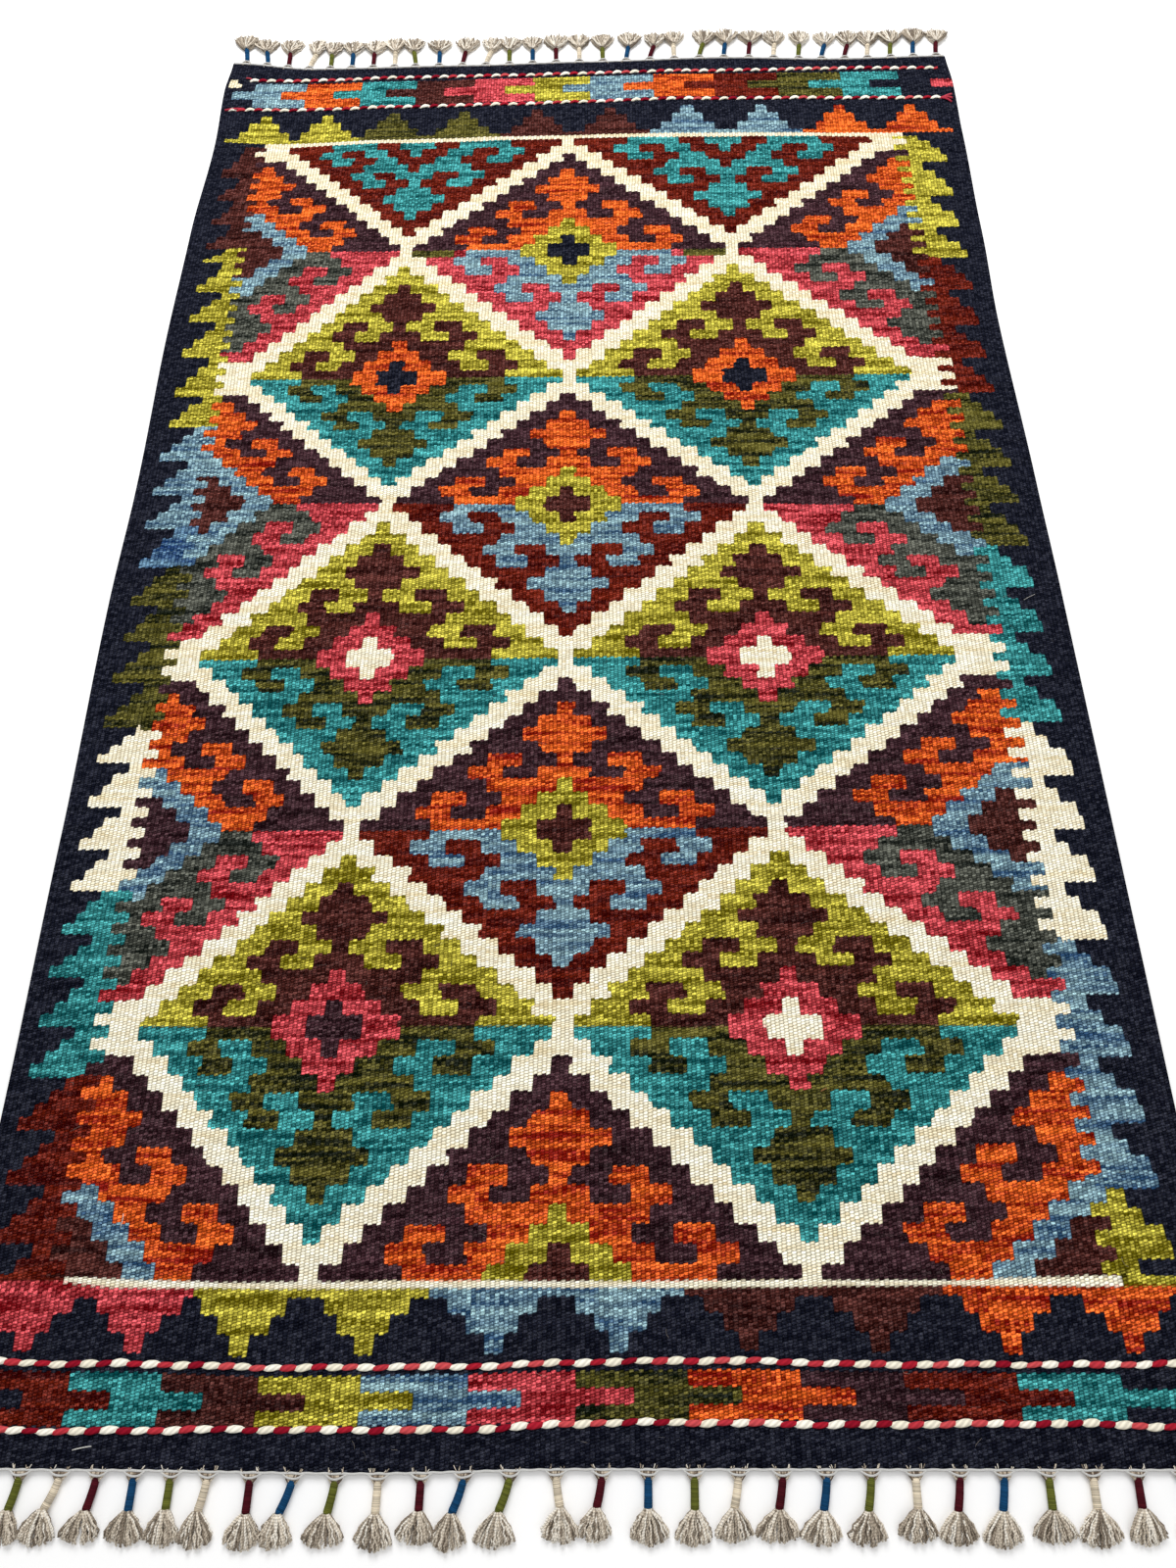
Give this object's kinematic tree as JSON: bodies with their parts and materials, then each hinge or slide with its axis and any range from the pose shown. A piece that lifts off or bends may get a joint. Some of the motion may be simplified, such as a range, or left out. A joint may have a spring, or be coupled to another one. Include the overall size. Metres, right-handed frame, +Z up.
{
  "type": "kilim rug",
  "caption": "Flat-woven wool kilim rug with stepped hooked diamonds, twined cord rows and wrapped warp tassels at both ends.",
  "frame": {"origin": "middle of the rug's outline, tassels included, on the surface it lies on", "axes": "+X across the rug, +Y along it from the near end to the far end, +Z up out of its face"},
  "size_m": [1.0124, 1.826, 0.006],
  "materials": {
    "kilim_wool": "weft-faced wool tapestry weave, matt",
    "twined_yarn": "twined cream and crimson wool yarn",
    "warp_yarn": "undyed grey-beige warp yarn, with wrapped necks"
  },
  "bodies": {
    "root": {"woven_cloth": "kilim_wool", "twined_cord_near_outer": "twined_yarn", "twined_cord_near_inner": "twined_yarn", "twined_cord_far_inner": "twined_yarn", "twined_cord_far_outer": "twined_yarn", "fringe_near": "warp_yarn", "fringe_far": "warp_yarn"}
  },
  "joints": []
}
